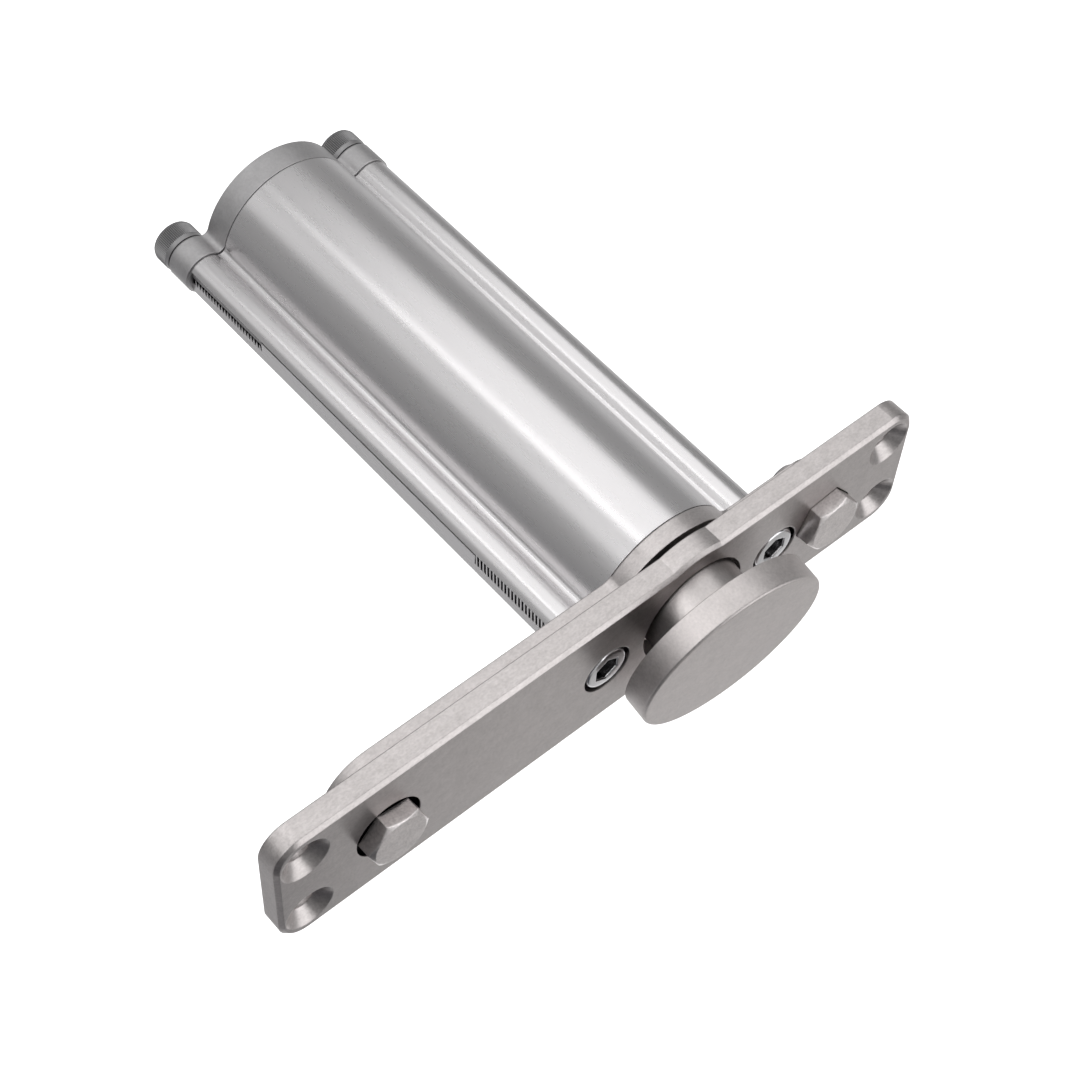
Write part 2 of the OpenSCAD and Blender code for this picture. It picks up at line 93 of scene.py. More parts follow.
def mesh_piece(name, shells, body, material, replaces=None, smooth_angle=35):
    """One object from several closed shells, each (points, triangles), attached to a body when one
    is given."""
    points, faces, start = [], [], 0
    for shell_points, shell_faces in shells:
        points.append(shell_points)
        faces.append(outward(shell_points, shell_faces) + start)
        start += len(shell_points)
    points = np.concatenate(points)
    faces = np.concatenate(faces)
    mesh = bpy.data.meshes.new(name)
    mesh.vertices.add(len(points))
    mesh.vertices.foreach_set("co", (points * MM).astype(np.float32).ravel())
    mesh.loops.add(faces.size)
    mesh.loops.foreach_set("vertex_index", faces.ravel().astype(np.int32))
    mesh.polygons.add(len(faces))
    mesh.polygons.foreach_set("loop_start", np.arange(0, faces.size, faces.shape[1], dtype=np.int32))
    mesh.update(calc_edges=True)
    mesh.validate()
    mesh.shade_smooth()
    piece = bpy.data.objects.new(name, mesh)
    bpy.context.scene.collection.objects.link(piece)
    piece.data.materials.append(material)
    # Corners sharper than smooth_angle keep a crisp edge
    with bpy.context.temp_override(object=piece, active_object=piece, selected_objects=[piece],
                                   selected_editable_objects=[piece]):
        bpy.ops.object.shade_smooth_by_angle(angle=math.radians(smooth_angle), keep_sharp_edges=True)
    if body:
        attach(piece, body)
    if replaces:
        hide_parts(replaces)
    return piece


def turned(y, radius, x=0.0, around=96, first_angle=0.0):
    """A closed skin round an axis along Y at x: ring i stands at y[i], and its radius at angle a,
    from +X towards +Z, is radius(i, a). The two ends close on the axis."""
    a = first_angle + np.arange(around) * TAU / around
    y = np.asarray(y, float)
    r = radius(np.arange(len(y))[:, None], a[None, :])
    height = np.broadcast_to(y[:, None], r.shape)
    rings = np.stack([x + r * np.cos(a), height, r * np.sin(a)], -1).reshape(-1, 3)
    ends = np.array([[x, y[0], 0.0], [x, y[-1], 0.0]])
    count = len(y)
    i, j = np.meshgrid(np.arange(count - 1), np.arange(around), indexing="ij")
    k = (j + 1) % around
    corners = [i * around + j, i * around + k, (i + 1) * around + k, (i + 1) * around + j]
    quads = np.stack(corners, -1).reshape(-1, 4)
    here = np.arange(around)
    after = (here + 1) % around
    last_ring = (count - 1) * around
    first_end = np.stack([np.full(around, count * around), after, here], -1)
    last_end = np.stack([np.full(around, count * around + 1), last_ring + here, last_ring + after], -1)
    # Quads as two triangles, so that one array holds every face
    faces = np.concatenate([quads[:, [0, 1, 2]], quads[:, [0, 2, 3]], first_end, last_end])
    return np.concatenate([rings, ends]), faces


def swept(rows):
    """A closed skin through rows of points, n rows of k, each a closed band whose point j lies
    across from its point k - 1 - j, which is how the two ends are closed."""
    n, k = rows.shape[:2]
    i, j = np.meshgrid(np.arange(n - 1), np.arange(k), indexing="ij")
    m = (j + 1) % k
    side = np.stack([i * k + j, i * k + m, (i + 1) * k + m, (i + 1) * k + j], -1).reshape(-1, 4)
    q = np.arange(k // 2 - 1)
    cap = np.stack([q, k - 1 - q, k - 2 - q, q + 1], -1)
    quads = np.concatenate([side, cap, cap[:, ::-1] + (n - 1) * k])
    return rows.reshape(-1, 3), np.concatenate([quads[:, [0, 1, 2]], quads[:, [0, 2, 3]]])


def thread_radius(y, a, outer, depth, pitch):
    """Radius of a right-hand V thread: a triangle wave of y / pitch + a / 360 degrees, with
    flattened crests and roots. The angle a runs from +X to +Z."""
    flattened = 0.12
    phase = (y / pitch + a / TAU) % 1.0
    wave = np.clip((np.abs(2 * phase - 1) - flattened) / (1 - 2 * flattened), 0, 1)
    return outer - depth * (1 - wave)


def off_flat(a):
    """Angle a as its distance from the middle of the nearest of a hexagon's six sides."""
    return (a + math.pi / 6) % (math.pi / 3) - math.pi / 6


# ---------------------------------------------------------------- node tools

def new_material(name):
    """A material's datablock, its node tree and its Principled shader."""
    finish = bpy.data.materials.new(name)
    finish.use_nodes = True
    return finish, finish.node_tree, finish.node_tree.nodes["Principled BSDF"]


def new_group(name, inputs, outputs):
    """An empty shader node group with (type, name, default) inputs and (type, name) outputs."""
    tree = bpy.data.node_groups.new(name, "ShaderNodeTree")
    for kind, label, default in inputs:
        socket = tree.interface.new_socket(label, in_out="INPUT", socket_type=kind)
        if default is not None:
            socket.default_value = default
    for kind, label in outputs:
        tree.interface.new_socket(label, in_out="OUTPUT", socket_type=kind)
    return tree, tree.nodes.new("NodeGroupInput").outputs, tree.nodes.new("NodeGroupOutput").inputs


def add(tree, kind, **props):
    node = tree.nodes.new(kind)
    for key, value in props.items():
        setattr(node, key, value)
    return node


def feed(tree, socket, value):
    """A number or colour is set on the socket itself, and anything else is linked to it."""
    if isinstance(value, (int, float, tuple)):
        socket.default_value = value
    else:
        tree.links.new(value, socket)


def math_node(tree, operation, *values, clamp=False):
    node = add(tree, "ShaderNodeMath", operation=operation, use_clamp=clamp)
    for socket, value in zip(node.inputs, values):
        feed(tree, socket, value)
    return node.outputs[0]


def mix_colour(tree, factor, first, second):
    node = add(tree, "ShaderNodeMix", data_type="RGBA")
    factor_in, first_in, second_in = node.inputs[0], node.inputs[6], node.inputs[7]
    for socket, value in ((factor_in, factor), (first_in, first), (second_in, second)):
        feed(tree, socket, value)
    return node.outputs[2]


def use_group(tree, group, **values):
    node = add(tree, "ShaderNodeGroup", node_tree=group)
    for key, value in values.items():
        feed(tree, node.inputs[key], value)
    return node.outputs


def noise(tree, place, scale, detail, roughness=0.5):
    node = add(tree, "ShaderNodeTexNoise")
    node.inputs["Scale"].default_value = scale
    node.inputs["Detail"].default_value = detail
    node.inputs["Roughness"].default_value = roughness
    tree.links.new(place, node.inputs["Vector"])
    return node.outputs[0]


def ramp(tree, value, first, last):
    """A smooth step, 0 where value is first and 1 where it is last."""
    node = add(tree, "ShaderNodeMapRange", interpolation_type="SMOOTHSTEP")
    node.inputs["From Min"].default_value = first
    node.inputs["From Max"].default_value = last
    tree.links.new(value, node.inputs["Value"])
    return node.outputs["Result"]


def separated(tree, place):
    node = add(tree, "ShaderNodeSeparateXYZ")
    tree.links.new(place, node.inputs[0])
    return node.outputs


def grey(value):
    return (value, value, value, 1)


# ---------------------------------------------------------------- shared effects

def make_grain():
    """Streaks along one axis: noise on stretched object coordinates, fine over coarse. Density is
    how many spots stand in a metre along each axis. Cloud is a wide, soft noise."""
    coarse_scale = 0.23
    coarse_share = 0.35
    cloud_scale = 60.0
    tree, given, out = new_group("metal grain", [
        ("NodeSocketVector", "Place", None), ("NodeSocketVector", "Density", (1000, 1000, 1000))],
        [("NodeSocketFloat", "Streak"), ("NodeSocketFloat", "Cloud")])
    stretched = add(tree, "ShaderNodeVectorMath", operation="MULTIPLY")
    tree.links.new(given["Place"], stretched.inputs[0])
    tree.links.new(given["Density"], stretched.inputs[1])
    fine = noise(tree, stretched.outputs[0], 1.0, 3.0, 0.6)
    coarse = noise(tree, stretched.outputs[0], coarse_scale, 2.0)
    blend = add(tree, "ShaderNodeMix", data_type="FLOAT")
    share_in, fine_in, coarse_in = blend.inputs[0], blend.inputs[2], blend.inputs[3]
    for socket, value in ((share_in, coarse_share), (fine_in, fine), (coarse_in, coarse)):
        feed(tree, socket, value)
    tree.links.new(blend.outputs[0], out["Streak"])
    tree.links.new(noise(tree, given["Place"], cloud_scale, 4.0), out["Cloud"])
    return tree


def make_edges():
    """Softened edges: a rounded normal, and a mask that is bright where it leaves the true one."""
    contrast = 6.0
    tree, given, out = new_group("softened edges", [
        ("NodeSocketFloat", "Radius", 0.0003)],
        [("NodeSocketVector", "Normal"), ("NodeSocketFloat", "Edge")])
    bevel = add(tree, "ShaderNodeBevel", samples=6)
    tree.links.new(given["Radius"], bevel.inputs["Radius"])
    surface = add(tree, "ShaderNodeNewGeometry")
    dot = add(tree, "ShaderNodeVectorMath", operation="DOT_PRODUCT")
    tree.links.new(bevel.outputs[0], dot.inputs[0])
    tree.links.new(surface.outputs["Normal"], dot.inputs[1])
    away = math_node(tree, "SUBTRACT", 1.0, dot.outputs["Value"])
    tree.links.new(bevel.outputs[0], out["Normal"])
    tree.links.new(math_node(tree, "MULTIPLY", away, contrast, clamp=True), out["Edge"])
    return tree


def make_rings():
    """A ring round each of two axes along Y, at Middle + Offset and Middle - Offset in X. The mask
    is 0 outside the radius Outer, rises to Strength over the width Fade further in, and is 0 again
    inside the radius Inner and where Y is less than Behind."""
    labels = ("Middle", "Offset", "Outer", "Fade", "Inner", "Behind", "Strength")
    tree, given, out = new_group("ring mask", [
        ("NodeSocketVector", "Place", None), *(("NodeSocketFloat", label, 0.0) for label in labels)],
        [("NodeSocketFloat", "Mask")])
    place = separated(tree, given["Place"])
    across_x = math_node(tree, "ABSOLUTE", math_node(tree, "SUBTRACT", place["X"], given["Middle"]))
    across_x = math_node(tree, "SUBTRACT", across_x, given["Offset"])
    square_x = math_node(tree, "MULTIPLY", across_x, across_x)
    square_z = math_node(tree, "MULTIPLY", place["Z"], place["Z"])
    radius = math_node(tree, "SQRT", math_node(tree, "ADD", square_x, square_z))
    further_in = math_node(tree, "SUBTRACT", given["Outer"], radius)
    mask = math_node(tree, "DIVIDE", further_in, given["Fade"], clamp=True)
    outside = math_node(tree, "GREATER_THAN", radius, given["Inner"])
    behind = math_node(tree, "GREATER_THAN", place["Y"], given["Behind"])
    mask = math_node(tree, "MULTIPLY", math_node(tree, "MULTIPLY", mask, outside), behind)
    tree.links.new(math_node(tree, "MULTIPLY", mask, given["Strength"]), out["Mask"])
    return tree


GRAIN = make_grain()
EDGES = make_edges()
RINGS = make_rings()


def ring(axes, outer, fade, inner=0.0, behind=-1000.0, strength=1.0):
    """The ring mask's values for two axes, from sizes in millimetres."""
    middle, offset = axes
    return {"Middle": middle * MM, "Offset": offset * MM, "Outer": outer * MM, "Fade": fade * MM,
            "Inner": inner * MM, "Behind": behind * MM, "Strength": strength}


# ---------------------------------------------------------------- finishes

# Near black, for painted shade in bores, sockets, threads and pockets
PAINTED_SHADE = (0.022, 0.022, 0.024, 1)
EDGE_LIGHTER = 0.25


def metal(name, light, dark, roughness, density, streak_colour=0.15, streak_rough=0.08, bump=0.02,
          cloud=0.1, edge=0.3, oiled=(), neck=None):
    """Metal whose streaks vary its colour between dark and light, its roughness and its relief,
    with a faint cloudiness and lighter edges. The bump's height and the edges' radius are in
    millimetres. The given rings are painted shade: near black where shade falls in bores,
    sockets, threads and pockets. A neck is a ring that is turned smoother and has painted shade:
    (ring, how much smoother, how much painted shade)."""
    finish, tree, bsdf = new_material(name)
    place = add(tree, "ShaderNodeTexCoord").outputs["Object"]
    grain = use_group(tree, GRAIN, Place=place, Density=density)
    soft = use_group(tree, EDGES, Radius=edge * MM)
    shade = math_node(tree, "MULTIPLY_ADD", grain["Streak"], streak_colour, 0.5 - streak_colour / 2)
    shade = math_node(tree, "MULTIPLY_ADD", grain["Cloud"], cloud, shade)
    shade = math_node(tree, "SUBTRACT", shade, cloud / 2)
    shade = math_node(tree, "MULTIPLY_ADD", soft["Edge"], EDGE_LIGHTER, shade, clamp=True)
    tint = mix_colour(tree, shade, (*dark, 1), (*light, 1))
    # Painted shade: each ring mixes the colour towards near black where shade falls
    for shade_ring in oiled:
        shade_mask = use_group(tree, RINGS, Place=place, **shade_ring)
        tint = mix_colour(tree, shade_mask["Mask"], tint, PAINTED_SHADE)
    rough = math_node(tree, "MULTIPLY_ADD", grain["Streak"], streak_rough, roughness - streak_rough / 2)
    if neck:
        neck_ring, smoother, darker = neck
        mask = use_group(tree, RINGS, Place=place, **neck_ring)["Mask"]
        rough = math_node(tree, "SUBTRACT", rough, math_node(tree, "MULTIPLY", mask, smoother))
        # Painted shade on the neck, which lies in low light between the disc and the plate
        shaded = tuple(0.3 * value for value in dark)
        tint = mix_colour(tree, math_node(tree, "MULTIPLY", mask, darker), tint, (*shaded, 1))
    tree.links.new(tint, bsdf.inputs["Base Color"])
    tree.links.new(rough, bsdf.inputs["Roughness"])
    relief = add(tree, "ShaderNodeBump")
    relief.inputs["Strength"].default_value = 1.0
    relief.inputs["Distance"].default_value = bump * MM
    tree.links.new(grain["Streak"], relief.inputs["Height"])
    tree.links.new(soft["Normal"], relief.inputs["Normal"])
    tree.links.new(relief.outputs[0], bsdf.inputs["Normal"])
    bsdf.inputs["Metallic"].default_value = 1.0
    return finish


def rubber(name):
    """Black rubber with a cloudy colour and a fine, even grain in its roughness and relief."""
    finish, tree, bsdf = new_material(name)
    place = add(tree, "ShaderNodeTexCoord").outputs["Object"]
    grain = use_group(tree, GRAIN, Place=place, Density=(900, 900, 900))
    tint = mix_colour(tree, grain["Cloud"], (0.012, 0.012, 0.013, 1), (0.05, 0.05, 0.052, 1))
    tree.links.new(tint, bsdf.inputs["Base Color"])
    tree.links.new(math_node(tree, "MULTIPLY_ADD", grain["Streak"], 0.2, 0.5), bsdf.inputs["Roughness"])
    relief = add(tree, "ShaderNodeBump")
    relief.inputs["Distance"].default_value = 0.03 * MM
    tree.links.new(grain["Streak"], relief.inputs["Height"])
    tree.links.new(relief.outputs[0], bsdf.inputs["Normal"])
    return finish


# Stainless plates, brushed along X. The face plate's two bolt pockets carry painted shade inside
BRUSHED = dict(light=(0.64, 0.604, 0.597), dark=(0.42, 0.395, 0.389), roughness=0.36,
               density=(1500, 2400, 2400), streak_colour=2.20, streak_rough=0.14, cloud=0.35, bump=0.03)
PLATE = metal("brushed stainless plate", **BRUSHED)
FACE = metal("brushed stainless face plate", **BRUSHED, oiled=[ring(BOLT_AXES, 8.0, 0.2, behind=0.3)])

# The floor disc, with the neck behind it, turned smoother and with painted shade
DISC = metal("turned stainless disc", (0.70, 0.66, 0.65), (0.50, 0.47, 0.463), 0.47, (1900, 1700, 1900),
             streak_colour=2.0, streak_rough=0.14, cloud=0.30, bump=0.03,
             neck=(ring(PIVOT_AXIS, 13.0, 0.5, behind=-8.5), 0.13, 0.22))

# The extruded housing, drawn along Y, with painted shade in its lobes' screw bores; its cap and window
# walls
TUBE = metal("satin anodised aluminium", (0.77, 0.754, 0.76), (0.57, 0.558, 0.563), 0.28, (2600, 300, 2600),
             streak_colour=0.20, streak_rough=0.08, cloud=0.10, bump=0.008, edge=0.2,
             oiled=[ring(LOBE_AXES, 3.5, 0.2)])
CAP = metal("machined aluminium cap", (0.60, 0.59, 0.595), (0.42, 0.413, 0.416), 0.46, (1800, 1800, 1800),
            streak_colour=1.50, cloud=0.35, bump=0.03)
# The window walls' dark colour is painted shade, where they lie sunk in the lobes' slots
WALL = metal("shaded window wall", (0.42, 0.41, 0.415), (0.26, 0.254, 0.257), 0.40, (1500, 1500, 1500),
             streak_colour=0.8, streak_rough=0.10)

# Hex bolts, with painted shade in the threads' grooves and on what lies sunk in the pockets
BOLT = metal("plain stainless bolt", (0.86, 0.814, 0.804), (0.54, 0.51, 0.503), 0.30, (2000, 2000, 2000),
             streak_colour=2.6, cloud=0.8, bump=0.04,
             oiled=[ring(BOLT_AXES, 3.9, 0.8, inner=3.15, behind=1.9),
                    ring(BOLT_AXES, 8.0, 0.2, inner=4.1, behind=0.1)])

# Cap screws, with painted shade in their sockets; the rear ones in their threads and knurl grooves too
SCREW = metal("zinc plated cap screw", (0.86, 0.86, 0.87), (0.62, 0.62, 0.64), 0.18, (1500, 1500, 1500),
              streak_rough=0.05, bump=0.004, edge=0.2,
              oiled=[ring(LOBE_AXES, 2.85, 0.4, behind=1.0, strength=0.88)])
BLACK = metal("blackened cap screw", (0.52, 0.515, 0.52), (0.26, 0.256, 0.26), 0.40, (1500, 1500, 1500),
              streak_colour=0.35, streak_rough=0.12, bump=0.01, edge=0.1,
              oiled=[ring(LOBE_AXES, 3.05, 1.2),
                     ring(LOBE_AXES, 4.84, 0.12, inner=4.66, strength=0.85)])

# Steels and rubber of the inner parts
BRIGHT = metal("bright plated steel", (0.82, 0.82, 0.83), (0.60, 0.60, 0.62), 0.16, (1500, 1500, 1500),
               streak_rough=0.05, bump=0.004, edge=0.2)
DULL = metal("dull phosphated steel", (0.46, 0.455, 0.46), (0.26, 0.256, 0.26), 0.40, (1500, 1500, 1500),
             streak_colour=0.35, streak_rough=0.12, bump=0.01, edge=0.1)
SPRING = metal("oiled spring steel", (0.30, 0.30, 0.32), (0.16, 0.16, 0.17), 0.30, (900, 900, 900),
               streak_colour=0.3, edge=0.1)
RUBBER = rubber("black nitrile rubber")

FINISHED_NODES = (
    (FACE, ["face_plate"]),
    (PLATE, ["adapter_plate"]),
    (DISC, ["floor_disc"]),
    (TUBE, ["housing_tube"]),
    (CAP, ["rear_cap", "piston"]),
    (BOLT, ["hex_adjusting_bolts"]),
    (BRIGHT, ["spindle", "bearing_inner_ring", "bearing_outer_ring", "bearing_balls", "thrust_front_race",
              "thrust_rear_race", "thrust_balls", "sleeve_nut", "drive_pins", "spacer_washers",
              "adapter_cap_screws"]),
    (DULL, ["filler_plug", "helix_sleeve", "gland_ring", "thrust_support_ring", "front_spring_seat",
            "rear_spring_seat", "rear_cap_screws"]),
    (SPRING, ["front_spring", "rear_spring"]),
    (RUBBER, ["gland_o_ring", "shaft_seal", "piston_ring", "cap_o_ring"]),
)


def finish_nodes():
    for finish, names in FINISHED_NODES:
        for name in names:
            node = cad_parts[name]
            for slot in node.material_slots:
                slot.material = finish
            if not node.material_slots:
                node.data.materials.append(finish)


# ---------------------------------------------------------------- cap screws

ROUND, HEXED, KNURLED = 0, 1, 2


def cap_screw_head():
    """The head's profile, from the bottom of its socket over the rim down to the seat, as heights,
    radii and kinds of ring. The socket ends in a drilled point, its mouth is chamfered, the rim is a
    quarter round, and below the knurl are a collar and an undercut foot."""
    socket_r = SOCKET_AF / 2
    socket_depth, point, point_r = 3.0, 1.4, 0.02
    mouth_h, mouth_w = 0.25, 0.22
    rim, land, bulge = 0.55, 0.3, 0.1
    knurl_foot = 1.7
    collar_r, foot_r = HEAD_R - 0.14, HEAD_R - 0.5
    top_r = HEAD_R - rim - land
    floor_h = HEAD_H - socket_depth
    rows = [(floor_h - point, point_r, ROUND), (floor_h, socket_r, HEXED),
            (HEAD_H - mouth_h, socket_r, HEXED), (HEAD_H, socket_r + mouth_w, HEXED),
            (HEAD_H, top_r, ROUND)]
    rows += [(HEAD_H - rim * (1 - math.cos(b)), top_r + (rim + bulge) * math.sin(b), ROUND)
             for b in np.linspace(0, math.pi / 2, 7)[1:]]
    rows += [(h, HEAD_R, KNURLED) for h in np.linspace(HEAD_H - rim - land, knurl_foot, 8)]
    rows += [(1.6, collar_r, ROUND), (0.55, collar_r, ROUND), (0.4, foot_r, ROUND), (0.0, foot_r, ROUND)]
    return (np.array(column) for column in zip(*rows))


def cap_screw(x, seat_y, way, length, plain):
    """A socket head cap screw: its head stands way (+1 or -1) of seat_y, with a straight knurl,
    a rounded rim and a hex socket; its shank is plain, then threaded to a chamfered end. A hexed
    ring's radius is half the width across flats / cos(angle off the flat), and a knurled ring's is
    a triangle wave of 72 teeth."""
    around = 288
    teeth, knurl = 72, 0.27
    height, base, kind = cap_screw_head()

    def head_radius(i, a):
        tooth = np.abs(((a * teeth / TAU) % 1) * 2 - 1)
        r = np.where(kind[i] == HEXED, base[i] / np.cos(off_flat(a)), base[i] + 0 * a)
        return np.where(kind[i] == KNURLED, base[i] - knurl * (1 - tooth), r)

    head = turned(seat_y + way * height, head_radius, x, around=around)

    # The shank's rings, from inside the head to the tip, as heights over the seat
    root_h, step = 0.3, 0.125
    run_out, end_land, end_chamfer = 0.8, 0.4, 0.6
    outer = SHANK_R - 0.01
    thread_h = -np.arange(plain + step, length - 0.9, step)
    shank_h = np.concatenate([[root_h, 0.0, -plain], thread_h, [end_chamfer - length, -length]])

    def shank_radius(i, a):
        down = -shank_h[i]
        thread = thread_radius(shank_h[i] * way, a, outer, THREAD_DEPTH, THREAD_PITCH)
        fade = np.clip((down - plain) / run_out, 0, 1)
        r = outer * (1 - fade) + thread * fade
        tip = np.where(down >= length - 0.01, SHANK_R - 2 * end_land, SHANK_R - end_land)
        return np.where(down >= length - end_chamfer - 0.01, np.minimum(r, tip), r)

    return [head, turned(seat_y + way * shank_h, shank_radius, x, around=48)]


def cap_screws():
    """Bright screws through the adapter plate and knurled ones through the rear cap, one a lobe."""
    front, rear = [], []
    for side in (-1, 1):
        front += cap_screw(side * LOBE_X, FRONT_SEAT_Y, -1, length=25.0, plain=3.6)
        rear += cap_screw(side * LOBE_X, REAR_SEAT_Y, 1, length=30.0, plain=6.0)
    mesh_piece("front_cap_screws", front, "housing", SCREW, "adapter_cap_screws")
    mesh_piece("knurled_cap_screws", rear, "housing", BLACK, "rear_cap_screws")


# ---------------------------------------------------------------- threads in the lobes

def tapped_hole(side, tap_y, seat_y):
    """The female thread of one lobe's tapped end, left open where the lobe's slot is. The skin's
    radius follows the screw's thread at a small play, and its lower end lies on the slot's lip."""
    lip_z, slot_z = -0.48, 2.7
    thread_r, thread_depth, skin_r = 3.02, 0.56, 3.08
    rings_per_mm, around = 7, 36
    y = np.linspace(*tap_y, int((tap_y[1] - tap_y[0]) * rings_per_mm))[:, None]
    share = np.linspace(0, 1, around)[None, :]
    first_angle = math.pi - math.asin(lip_z / SHANK_R)
    span = TAU - (math.asin(slot_z / SHANK_R) - math.asin(lip_z / SHANK_R))
    a = first_angle + share * span
    # Angles are those of the left lobe; the right one is turned half a turn round Y
    turn = 0.0 if side < 0 else math.pi
    inner = thread_radius(y - seat_y, a + turn, thread_r, thread_depth, THREAD_PITCH)
    on_lip = share == 0
    a_in = np.where(on_lip, math.pi - np.arcsin(lip_z / inner), a + 0 * y)
    a_out = np.where(on_lip, math.pi - math.asin(lip_z / skin_r), a) + 0 * y
    r = np.concatenate([inner, np.full_like(inner, skin_r)], 1)
    a = np.concatenate([a_in, a_out[:, ::-1]], 1) + turn
    return swept(np.stack([side * LOBE_X + r * np.cos(a), y + 0 * r, r * np.sin(a)], -1))


def window_ridges(side, tap_y, seat_y, top_z, foot, tip):
    """The thread's ridges that stand in a lobe's open window: one bar a turn, from the lower lip up
    to top_z, foot wide below and tip wide above. Its height z lies at the thread's own angle, so it
    leans by pitch x asin(z / r) / 360 degrees."""
    base_z, inner_r, outer_r = -0.6, 3.32, 3.57
    half_turn = 0.5 if side < 0 else 0.0
    turns = np.arange(math.ceil(tap_y[0] - seat_y), tap_y[1] - seat_y - 0.5)
    z = np.array([base_z, top_z, top_z, base_z])
    across_y = np.array([-foot, -tip, tip, foot]) / 2
    lean = THREAD_PITCH * np.arcsin(z / outer_r) / TAU
    shells = []
    for middle in turns + half_turn + seat_y:
        bar = [np.stack([side * (LOBE_X + out) + 0 * z, middle + lean + across_y, -side * z], -1)
               for out in (inner_r, outer_r)]
        shells.append(swept(np.array(bar)))
    return shells


def lobe_threads():
    """The threads of the four tapped ends, with wide ridges in the front windows and pointed ones
    in the rear windows."""
    shells = []
    for side in (-1, 1):
        shells.append(tapped_hole(side, FRONT_TAP_Y, FRONT_SEAT_Y))
        shells.append(tapped_hole(side, REAR_TAP_Y, REAR_SEAT_Y))
        shells += window_ridges(side, FRONT_TAP_Y, FRONT_SEAT_Y, top_z=2.6, foot=0.44, tip=0.38)
        shells += window_ridges(side, REAR_TAP_Y, REAR_SEAT_Y, top_z=1.0, foot=0.74, tip=0.10)
    mesh_piece("tapped_hole_threads", shells, "housing", TUBE)


def window_walls():
    """The thin wall that is left above the ridges in each rear window: a straight bar of four
    corners, a little longer than the tapped stretch."""
    near, far, low, high = 3.10, 3.42, 1.20, 2.00
    ends_y = (101.75, 125.45)
    out = np.array([near, far, far, near])
    up = np.array([low, low, high, high])
    shells = []
    for side in (-1, 1):
        bar = [np.stack([side * (LOBE_X + out), y + 0 * out, -side * up], -1) for y in ends_y]
        shells.append(swept(np.array(bar)))
    mesh_piece("rear_window_walls", shells, "housing", WALL)


# ---------------------------------------------------------------- hex adjusting bolts

def hex_bolt(x, turn_deg):
    """Hex head whose radius at height y and angle a is the smaller of the hexagon's and the 30
    degree chamfer cone's, and an M8 shank that is plain by the head and then threaded."""
    turn = math.radians(turn_deg)
    front, back, half_af, land_r, back_chamfer = -3.5, 1.8, 6.0, 5.7, 0.15
    head_y = np.concatenate([np.linspace(front, front + 0.72, 12), [-1.0, back - back_chamfer, back]])
    trim = np.zeros(len(head_y))
    trim[-1] = back_chamfer

    def head_radius(i, a):
        hexed = half_af / np.cos(off_flat(a + turn - math.pi / 6))
        cone = land_r + (head_y[i] - front) * math.tan(math.pi / 3)
        return np.minimum(hexed, cone) - trim[i]

    head = turned(head_y, head_radius, x, around=192, first_angle=-turn)

    pitch, depth, outer = 1.25, 0.7, 3.99
    start, plain, end, run_out = 1.5, 5.6, 11.8, 1.0
    tip_land, tip_chamfer, tip_h = 0.1, 0.75, 0.7
    thread_y = np.arange(plain + 0.15, end - 0.75, pitch / 8)
    shank_y = np.concatenate([[start, plain], thread_y, [end - tip_h, end]])

    def shank_radius(i, a):
        y = shank_y[i]
        fade = np.clip((y - plain) / run_out, 0, 1)
        r = outer * (1 - fade) + thread_radius(y, a, outer, depth, pitch) * fade
        tip = outer - tip_land - tip_chamfer * np.clip((y - end + tip_h) / tip_h, 0, 1)
        return np.where(y >= end - tip_h, np.minimum(r, tip), r)

    return [head, turned(shank_y, shank_radius, x, around=56)]


def hex_bolts():
    shells = []
    for x, turn_deg in zip(BOLT_X, BOLT_TURN):
        shells += hex_bolt(x, turn_deg)
    mesh_piece("threaded_hex_bolts", shells, "housing", BOLT, "hex_adjusting_bolts", 25)


# ---------------------------------------------------------------- coil springs

def coil_spring(name, ends_y, cad_node):
    """Round wire carried along a helix of five turns, whose pitch is close at the two ends and wide
    between. What would reach past the two seats is ground flat. It runs from its seat on the
    housing at one end to the piston at the other."""
    fixed_y, moving_y = ends_y
    wire_r, coil_r, turns, steps, around = 1.5, 12.0, 5, 36, 10
    closed_turns, easing_turns, ground = 0.7, 0.7, 0.05
    length = abs(moving_y - fixed_y)
    s = np.linspace(0, turns, turns * steps + 1)
    ease = np.clip((np.minimum(s, turns - s) - closed_turns) / easing_turns, 0, 1)
    ease = ease * ease * (3 - 2 * ease)
    close_pitch = 2 * wire_r + 0.05
    eased_step = (ease[1:] + ease[:-1]) / 2 * (s[1] - s[0])
    wide_pitch = (length - wire_r - close_pitch * turns) / eased_step.sum()
    along = wire_r / 2 + close_pitch * s + wide_pitch * np.concatenate([[0.0], np.cumsum(eased_step)])
    turn = -TAU * s[:, None]
    b = TAU * np.arange(around)[None, :] / around
    r = coil_r + wire_r * np.cos(b)
    y = np.clip(along[:, None] + wire_r * np.sin(b), ground, length - ground)
    way = 1 if moving_y > fixed_y else -1
    rows = np.stack([r * np.cos(way * turn), fixed_y + way * y, r * np.sin(way * turn)], -1)
    piece = mesh_piece(name, [swept(rows)], None, SPRING, cad_node, 50)
    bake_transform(piece)


# ---------------------------------------------------------------- floor, lights and camera

